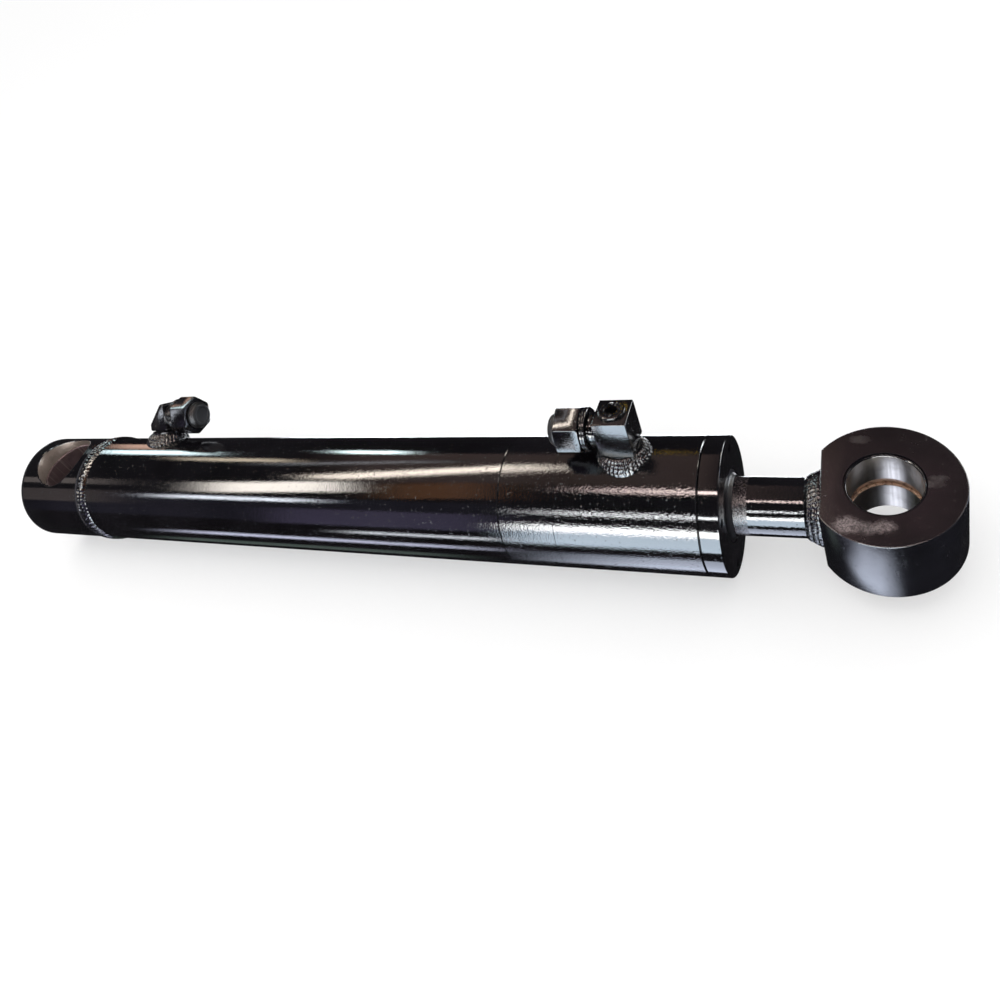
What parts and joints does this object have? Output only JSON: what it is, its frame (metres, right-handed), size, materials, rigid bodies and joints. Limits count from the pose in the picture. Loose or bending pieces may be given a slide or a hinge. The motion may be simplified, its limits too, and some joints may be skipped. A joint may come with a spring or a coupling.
{
  "type": "welded_hydraulic_cylinder",
  "caption": "Black welded double-acting hydraulic cylinder with a bored rear cap, a bushed rod eye, and two blanked hose ports on the barrel",
  "frame": {"origin": "centre of the rear pin bore", "axes": "+X runs along the cylinder to the rod eye and is the way the rod extends; +Z is along both pin bores, on the side of the ports; +Y completes the right-handed frame"},
  "size_m": [1.0293, 0.14, 0.1742],
  "materials": {
    "black_paint": "gloss black enamel",
    "machined_steel": "turned",
    "bush_steel": "ground",
    "hard_chrome": "polished hard chrome",
    "nitrile_rubber": "matt",
    "polyurethane": "satin",
    "filled_ptfe": "satin",
    "phenolic_fabric": "matt"
  },
  "bodies": {
    "barrel": {"barrel_tube": "black_paint", "head_tube": "black_paint", "rear_cap": "black_paint", "rear_bush": "bush_steel", "rear_cap_weld": "black_paint", "gland": "black_paint", "wiper_seal": "polyurethane", "rod_seal": "polyurethane", "buffer_seal": "filled_ptfe", "front_rod_guide_ring": "phenolic_fabric", "rear_rod_guide_ring": "phenolic_fabric", "gland_o_ring": "nitrile_rubber", "gland_backup_ring": "filled_ptfe", "front_port_boss": "black_paint", "front_port_weld": "black_paint", "front_port_block": "black_paint", "front_port_plug": "black_paint", "front_port_adapter": "black_paint", "front_port_union_nut": "black_paint", "front_port_blanking_plug": "black_paint", "rear_port_boss": "black_paint", "rear_port_weld": "black_paint", "rear_port_elbow": "black_paint", "rear_port_adapter": "black_paint", "rear_port_union_nut": "black_paint", "rear_port_blanking_plug": "black_paint"},
    "piston_rings": {"piston_guide_ring_rear": "phenolic_fabric", "piston_guide_ring_front": "phenolic_fabric", "piston_seal": "filled_ptfe", "piston_seal_energiser": "nitrile_rubber"},
    "rod": {"piston_rod": "hard_chrome", "piston": "machined_steel", "piston_bore_o_ring": "nitrile_rubber", "piston_nut": "machined_steel", "piston_nut_screw": "machined_steel", "rod_eye": "black_paint", "rod_eye_bush_upper": "bush_steel", "rod_eye_bush_lower": "bush_steel", "rod_eye_weld": "black_paint"}
  },
  "joints": [
    {"name": "rod_slide", "type": "slide", "parent": "barrel", "child": "piston_rings", "axis": [1, 0, 0], "range_m": [0, 0.5]},
    {"name": "rod_turn", "type": "hinge", "parent": "piston_rings", "child": "rod", "pos_m": [0, 0, 0], "axis": [1, 0, 0], "continuous": true}
  ]
}
